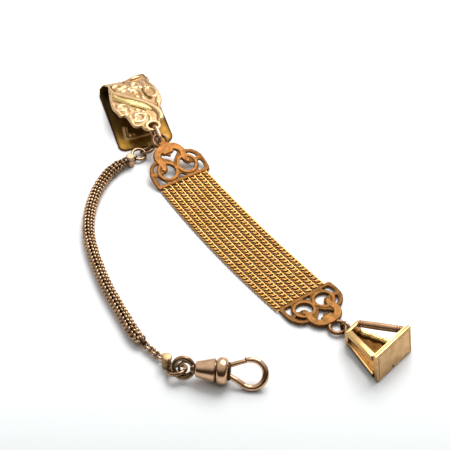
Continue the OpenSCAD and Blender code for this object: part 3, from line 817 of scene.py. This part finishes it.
def block(name, size, middle, bevel):
    """A box with softened edges, by its size and the place of its middle."""
    bpy.ops.mesh.primitive_cube_add(size=1)
    piece = bpy.context.object
    piece.name = name
    bpy.ops.object.mode_set(mode="EDIT")
    bpy.ops.transform.resize(value=size)
    bpy.ops.transform.translate(value=middle)
    bpy.ops.mesh.bevel(offset=bevel, segments=3, affect="EDGES")
    bpy.ops.object.mode_set(mode="OBJECT")
    return piece


def pick_faces(piece, direction):
    """Selects only the faces that look in a direction, and leaves the piece in edit mode."""
    bpy.ops.object.mode_set(mode="OBJECT")
    pick(piece)
    bpy.ops.object.mode_set(mode="EDIT")
    bpy.ops.mesh.select_mode(type="FACE")
    bpy.ops.mesh.select_all(action="DESELECT")
    mesh = bmesh.from_edit_mesh(piece.data)
    for face in mesh.faces:
        face.select = face.normal.dot(Vector(direction)) > 0.99
    bmesh.update_edit_mesh(piece.data)


def turned(name, profile, steps=32):
    """A turned piece about X, from places along it and their radii, closed at both ends."""
    bpy.ops.mesh.primitive_circle_add(vertices=len(profile) + 2)
    piece = bpy.context.object
    piece.name = name
    ends = [(profile[0][0], 0)] + list(profile) + [(profile[-1][0], 0)]
    for vertex, (along, radius) in zip(piece.data.vertices, ends):
        vertex.co = (along, radius, 0)
    bpy.ops.object.mode_set(mode="EDIT")
    bpy.ops.mesh.select_all(action="SELECT")
    bpy.ops.mesh.spin(steps=steps, angle=math.tau, center=(0, 0, 0), axis=(1, 0, 0))
    bpy.ops.mesh.select_all(action="SELECT")
    bpy.ops.mesh.remove_doubles(threshold=0.001)
    bpy.ops.mesh.normals_make_consistent(inside=False)
    bpy.ops.object.mode_set(mode="OBJECT")
    return piece


def between(head, foot):
    """Place of a piece modelled along X that starts at head, points at foot and has its Z upwards."""
    along = (Vector(foot) - Vector(head)).normalized()
    up = (Vector((0, -1, 0)) - along * along.dot((0, -1, 0))).normalized()
    return Matrix.Translation(head) @ Matrix((along, up.cross(along), up)).transposed().to_4x4()


tablet = block("tablet", size=(tablet_l, tablet_w, tablet_rim - rim_slope[1]),
               middle=(0, 0, (tablet_rim + rim_slope[1]) / 2), bevel=rim_edge)
pick_faces(tablet, (0, 0, -1))
bpy.ops.mesh.inset(thickness=rim_edge, depth=rim_edge)
bpy.ops.mesh.inset(thickness=rim_slope[0] - rim_edge, depth=rim_slope[1] - rim_edge)
bpy.ops.mesh.inset(thickness=groove_w, depth=-groove_deep)
bpy.ops.mesh.inset(thickness=groove_w, depth=0)
bpy.ops.mesh.inset(thickness=groove_w, depth=groove_deep)
pick_faces(tablet, (0, 0, 1))
bpy.ops.mesh.inset(thickness=step_in, depth=0)
bpy.ops.mesh.extrude_region_move(TRANSFORM_OT_translate={"value": (0, 0, step_h)})
bpy.ops.mesh.inset(thickness=-step_out, depth=0)
bpy.ops.mesh.extrude_region_move(TRANSFORM_OT_translate={"value": (0, 0, tablet_t - tablet_rim - step_h)})
bpy.ops.object.mode_set(mode="OBJECT")
nick_floor = block("nick floor", size=(1.3, 1.8, 0.3), middle=(-1, 4.3, 0.7), bevel=0.05)
mark(nick_floor, tarnish=1)
nick = cut_block([(-1.35, 3.5), (-0.85, 3.5), (-0.45, 5.6), (-1.55, 5.6)], low=-0.5, high=0.75)
cut_with(tablet, nick, "DIFFERENCE")
# The legs' ends reach a little into the yoke and the tablet, where they are soldered
leg_seat = 0.2
leg_head_z = yoke_under + leg_seat
leg_foot_z = tablet_t - leg_seat
lower_head_y = 2
lower_foot_y = 4
near_upper = between((-2.6, -2.2, leg_head_z), (-7.6, -3.3, leg_foot_z))
far_upper = between((2.6, -2.3, leg_head_z), (7.4, -3.5, leg_foot_z))
near_lower = between((-2.6, lower_head_y, leg_head_z), (-7.6, lower_foot_y, leg_foot_z))
far_lower = between((2.4, 1.5, leg_head_z), (6.5, 3.5, leg_foot_z))
flat_leg = block("flat leg", size=(leg_l, 2.3, 1.1), middle=(leg_l / 2, 0, 0.4), bevel=0.45)
# The flat leg is painted a little brighter, as a highlight
mark(flat_leg, shine=0.3)
flat_strip = block(
    "strip under the flat leg", size=(leg_l, 1.6, 1.1), middle=(leg_l / 2, 0, -0.4), bevel=0.15)
mark(flat_strip, tarnish=0.45)
rod_leg = turned("rod leg", [
    (0, 1.15), (0.5, 1.15), (0.6, 0.9), (0.8, 0.9), (0.9, 1.15), (1.3, 1.15), (1.4, 0.95), (1.55, 0.95),
    (1.65, 1.15), (7, 1.22), (12.6, 1.15), (12.7, 0.9), (12.9, 0.9), (13, 1.15), (13.4, 1.15), (13.5, 0.9),
    (13.7, 0.9), (13.8, 1.15), (14.4, 1.15)])
plain_leg = block("plain leg", size=(leg_l + 0.3, 1.5, 1.7), middle=(leg_l / 2, 0, 0), bevel=0.3)
plain_strip = block(
    "strip on the plain leg", size=(leg_l, 0.65, 0.5), middle=(leg_l / 2, -0.7, 0.6), bevel=0.12)
mark(plain_strip, tarnish=0.35)
# Four round beads with narrow necks between them
bead_count = 4
bead_l = 3.6
neck_r = 0.72
bead_rise = 0.45
beaded_leg = turned("beaded leg", [
    (a, neck_r + bead_rise * abs(math.sin(math.pi * a / bead_l)) ** 0.7)
    for a in np.linspace(0, bead_count * bead_l, 90)], steps=20)
# The beads are painted bright, as highlights
mark(beaded_leg, shine=0.8)
legs = {flat_leg: near_upper, flat_strip: near_upper, rod_leg: far_upper, plain_leg: near_lower,
        plain_strip: near_lower, beaded_leg: far_lower}
for leg, place in legs.items():
    leg.matrix_world = place
panel_t = 0.6
panel_spread = lower_foot_y - lower_head_y
panel_lean = math.degrees(math.atan2(panel_spread, yoke_under - tablet_t))
panel_l = math.hypot(panel_spread, yoke_under - tablet_t)
panel_outline = [(-7.6, -0.2), (6.6, -0.2), (2.4, panel_l + 0.2), (-2.6, panel_l + 0.2)]
panel = cut_block(panel_outline, -panel_t / 2, panel_t / 2)
panel.matrix_world = put((0, lower_foot_y, tablet_t), 90 + panel_lean, "X")
yoke = block("yoke", yoke_size, middle=(0, 0, yoke_top - yoke_size[2] / 2), bevel=0.25)
knob = turned("knob", [(0, 1.9), (0.25, 1.75), (0.45, 1.3), (0.7, 1.1), (0.95, 0.9)])
knob.matrix_world = put((0, 0, yoke_top - 0.15), -90, "Y")
# The knob is painted bright, as a highlight
mark(knob, shine=0.8)
bail_r = 1.4
bail_wire = 0.84
bail_foot = -0.95
bail_arch = [(-bail_r * math.cos(a), 0, bail_r * math.sin(a)) for a in np.linspace(0, math.pi, 17)]
bail = wire("bail", [(-bail_r, 0, bail_foot)] + bail_arch + [(bail_r, 0, bail_foot)], bail_wire)
bail.matrix_world = put((0, 0, yoke_top + 0.75), 33)
own_golds = {rod_leg: rod_gold, panel: panel_gold_and_painted_shade, plain_leg: panel_gold_and_painted_shade}
seal_parts = [tablet, nick_floor, flat_leg, flat_strip, rod_leg, plain_leg, plain_strip, beaded_leg, panel,
              yoke, knob, bail]
for piece in seal_parts:
    finish_with(piece, own_golds.get(piece, seal_gold))
seal = join_all(seal_parts)
seal.name = "four_legged_seal"
set_down(seal, seal_place)
bpy.ops.object.shade_smooth_by_angle(angle=math.radians(32))
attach(seal, "chain")
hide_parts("seal")

# Clip link and upper ring: two jump rings of plain gold wire, one hung in the other. They go from the
# lug on the clip to the side eye of the woven chain's upper cap.
for node in ("clip_link", "upper_ring"):
    fuller_copy(node, swell=0.14)

# End caps of the woven chain: turned drums of rosy gold that stand upright as they lie, each with a wire
# eye soldered on its side. The chain's end is fixed inside.
cap_gold = worn_gold(
    "cap gold", (0.58, 0.365, 0.235), (0.44, 0.26, 0.155), (0.06, 0.027, 0.010),
    roughness=0.5, recess=1.2)
old_cap_gold = worn_gold(
    "old cap gold", (0.50, 0.325, 0.175), (0.36, 0.22, 0.105), (0.05, 0.024, 0.008),
    roughness=0.5, recess=1.2)
finish_with(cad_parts["upper_cap"], cap_gold)
finish_with(fuller_copy("lower_cap", swell=0.22), old_cap_gold)

# Woven chain: small wire loops linked through each other in rows, of antique rosy gold. It tapers
# to single loose loops at the swivel's end.
woven_gold = worn_gold(
    "antique gold", (0.61, 0.395, 0.235), (0.34, 0.20, 0.10), (0.026, 0.009, 0.002),
    roughness=0.22, recess=1.0, recess_amount=1.0, cloud_size=1.6, extra="tarnish")
woven_z = 2.2
woven_route = smooth_line([(x, y, woven_z) for x, y in (
    (-12.8, 85.6), (-20, 84.2), (-28, 79.4), (-35.4, 72.4), (-41.6, 63.8), (-46, 53.6), (-50, 40),
    (-52.2, 28), (-53.9, 16.5), (-53.3, 9.4), (-52.4, 3.3))])
loops_l = 7.6
loops_z = 1.7
loop_pitch = 1.4
loose_wire = 0.8
loop_half = (1.2, 0.95)
core_d = 2.3
grain_pitch = 1.6
grains_round = 10
grain_l = 2.0
grain_wires = [0.5, 0.7, 0.82, 0.9, 0.82, 0.7, 0.5]
grain_slant = math.radians(24)
grain_r = 1.66
# Each wire loop shows as a short arch over the core, slanted to one side and the other in turn
grains = []
for k in range(grains_round):
    slant = grain_slant * (-1) ** k
    arch = [(grain_l / 2 * a, 0, 0.1 - 0.7 * a * a) for a in np.linspace(-1, 1, 7)]
    grain = wire("grain", arch, grain_wires, sides=1)
    bearing = math.tau * k / grains_round
    for vertex in grain.data.vertices:
        turned_x = vertex.co.x * math.cos(slant) - vertex.co.y * math.sin(slant)
        turned_y = vertex.co.x * math.sin(slant) + vertex.co.y * math.cos(slant)
        wrap = bearing + turned_y / grain_r
        out = grain_r + vertex.co.z
        vertex.co = (turned_x, out * math.sin(wrap), out * math.cos(wrap))
    grains.append(grain)
weave = join_all(grains)
bpy.ops.object.shade_smooth()
route_at = np.concatenate([[0], np.cumsum([(b - a).length for a, b in zip(woven_route, woven_route[1:])])])
weave_l = route_at[-1] - loops_l
grain_rows = int(weave_l / grain_pitch)


def taper(along):
    """Share of its full width that the weave has at a distance from its upper end."""
    return np.interp(along, (0, 5, weave_l - 5, weave_l), (0.82, 1, 1, 0.72))


woven = lay_links(weave, grain_rows, grain_pitch, woven_route, "woven_chain_loops", taper)
# The weave has worked loose towards both ends
chance = np.random.default_rng(11)
places = vertex_places(woven).reshape(grain_rows * grains_round, -1, 3)
to_end = np.minimum(np.arange(len(places)), len(places) - np.arange(len(places))) / grains_round * grain_pitch
loose = 0.03 + 0.12 * (1 - grade(to_end, 0, 12))
places += chance.normal(0, 1, (len(places), 1, 3)) * loose[:, None, None]
places[:, :, 2] = np.maximum(places[:, :, 2], 0.03)
woven.data.vertices.foreach_set("co", places.ravel())
bpy.data.objects.remove(weave)
in_weave = route_at < weave_l
core_line = [place for place, inside in zip(woven_route, in_weave) if inside]
core = wire("core", core_line, list(core_d * taper(route_at[in_weave])))
from_top = np.repeat(np.arange(len(places)) // grains_round * grain_pitch, places.shape[1])
dark_end = woven.data.attributes.new("tarnish", "FLOAT", "POINT")
dark_end.data.foreach_set("value", 0.5 * (1 - grade(from_top, 0, 18)))
# The core is coloured nearly fully dark, as painted shade in the gaps between the loops
mark(core, tarnish=0.9)
loose_loops = []
for k, tilt in enumerate((30, -45)):
    oval = [(loop_pitch * k + loop_half[0] * math.cos(a), loop_half[1] * math.sin(a), 0)
            for a in bearings_round(16)]
    loose_loop = wire("loose loop", oval, loose_wire, closed=True, sides=1)
    loose_loop.matrix_world = put((0, 0, 0), tilt, "X")
    loose_loops.append(loose_loop)
pair_of_loops = join_all(loose_loops)
bpy.ops.object.transform_apply(location=True, rotation=True, scale=True)
bpy.ops.object.shade_smooth()
loops_at = np.linspace(weave_l - 0.4, route_at[-1], 6)
loops_x, loops_y = [np.interp(loops_at, route_at, [p[i] for p in woven_route]) for i in (0, 1)]
loops_route = np.stack([loops_x, loops_y, np.full(len(loops_at), loops_z)], 1)
loops = lay_links(pair_of_loops, 3, pitch=2 * loop_pitch, route=loops_route, name="loose_loops")
bpy.data.objects.remove(pair_of_loops)
woven = join_all([woven, core, loops])
set_down(woven, laid_out)
woven.data.materials.append(woven_gold)
bpy.ops.object.shade_smooth()
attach(woven, "chain")
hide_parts("woven_chain")

# Lower ring: a jump ring of plain gold wire, bent round until its ends meet. It links the lower cap's
# eye to the ring of the swivel.
fuller_copy("lower_ring", swell=0.24)

# Swivel: turned barrel and collar of polished rosy gold. A ring of wire, wrapped with a finer one, turns
# in the narrow end, and an open hook that a watch's bow hangs on is fixed in the wide end. A sprung gate
# on a pin closes the hook.
swivel_gold = worn_gold(
    "swivel gold", (0.71, 0.455, 0.285), (0.56, 0.335, 0.185), (0.045, 0.02, 0.007),
    roughness=0.17, recess=1.5, recess_amount=1.0, extra="tarnish")
swivel_bearing = -41.5
hook_tilt = 48
swivel_place = laid_out @ put((-47.64, -7.51, 4.35), swivel_bearing)
hook_place = swivel_place @ put((0, 0, 0), hook_tilt, "X")
finish_with(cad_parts["gate_pin"], swivel_gold)
eye = fuller_copy("swivel_eye", swell=0.26)
wrap_turns = 3
wrap_l = 1.25
wrap_line = []
for share in np.linspace(0, 1, 61):
    bearing = share * wrap_turns * math.tau
    radius = 1.1 + 0.35 * share
    wrap_line.append((-1.5 + wrap_l * share, radius * math.cos(bearing), radius * math.sin(bearing)))
wraps = wire("wraps", wrap_line, thickness=0.5)
eye_middle = -3.05
eye_r = 2
eye_turn = math.radians(56)
second_line = [(eye_middle + eye_r * math.cos(a), eye_r * math.sin(a) * math.cos(eye_turn),
                eye_r * math.sin(a) * math.sin(eye_turn)) for a in bearings_round(40)]
second_turn = wire("second turn", second_line, thickness=0.85, closed=True)
for turns in (wraps, second_turn):
    set_down(turns, swivel_place)
    bpy.ops.object.shade_smooth()
    turns.data.materials.append(ring_gold)
join_all([eye, wraps, second_turn])
cone_line = [(0, 1.6), (0, 2.15), (0.15, 2.35), (0.4, 2.5), (1.6, 2.75), (3, 3.1), (4.6, 3.52), (5.4, 3.76),
             (5.75, 3.82), (5.95, 3.7), (6, 3.15), (6.3, 3.05)]
collar_line = smooth_line([
    (6.4, 3.3), (6.6, 3.7), (7.1, 4.1), (7.8, 4.27), (8.6, 4.25), (9.3, 4.05), (9.8, 3.6), (10, 3.1)], 3)
barrel = turned("barrel", cone_line + [tuple(p) for p in collar_line], steps=64)
hub = turned("hub", [(10.02, 2.9), (10.5, 2.85), (10.75, 2.6)], steps=48)
# The hub is coloured fully dark, as painted shade in the recess between collar and hook
mark(hub, tarnish=1)
hook_at = (17.15, -0.2)
hook_r = 4.3
hook_points = [(10.1, -1.3, 0), (11.4, -1.9, 0), (12.6, -2.45, 0)]
for bearing in np.linspace(228, 476, 46):
    # The tip bends outwards a little to meet the gate
    radius = hook_r + 0.3 * max(0, (bearing - 462) / 14)
    a = math.radians(bearing)
    hook_points.append((hook_at[0] + radius * math.cos(a), hook_at[1] + radius * math.sin(a), 0))
hook_wire = list(np.interp(
    np.linspace(0, 1, len(hook_points)), (0, 0.2, 0.5, 0.85, 0.97, 1), (1.8, 2.0, 2.2, 1.9, 1.7, 1.3)))
hook = wire("hook", hook_points, hook_wire, sides=5)
hook_end = wire("hook end", [(15.02, 3.88, 0), (15.3, 4.02, 0)], thickness=1.5, sides=5)
mark(hook_end, tarnish=1)
hook = join_all([barrel, hub, hook, hook_end])
hook.name = "barrel_and_hook"
set_down(hook, hook_place)
bpy.ops.object.shade_smooth_by_angle(angle=math.radians(35))
finish_with(hook, swivel_gold)
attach(hook, "hook")
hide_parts("swivel_hook")
gate_line = [
    (9.8, 1.7, 0), (11.5, 2.34, 0), (13.4, 3.04, 0), (14.6, 3.42, 0), (15.2, 3.58, 0), (16.1, 3.74, 0)]
gate = wire("sprung_gate", gate_line, [1.6, 1.6, 1.5, 1.45, 1.35, 0.8], sides=5)
set_down(gate, hook_place)
bpy.ops.object.shade_smooth_by_angle(angle=math.radians(35))
gate.data.materials.append(swivel_gold)
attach(gate, "gate")
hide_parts("hook_gate")
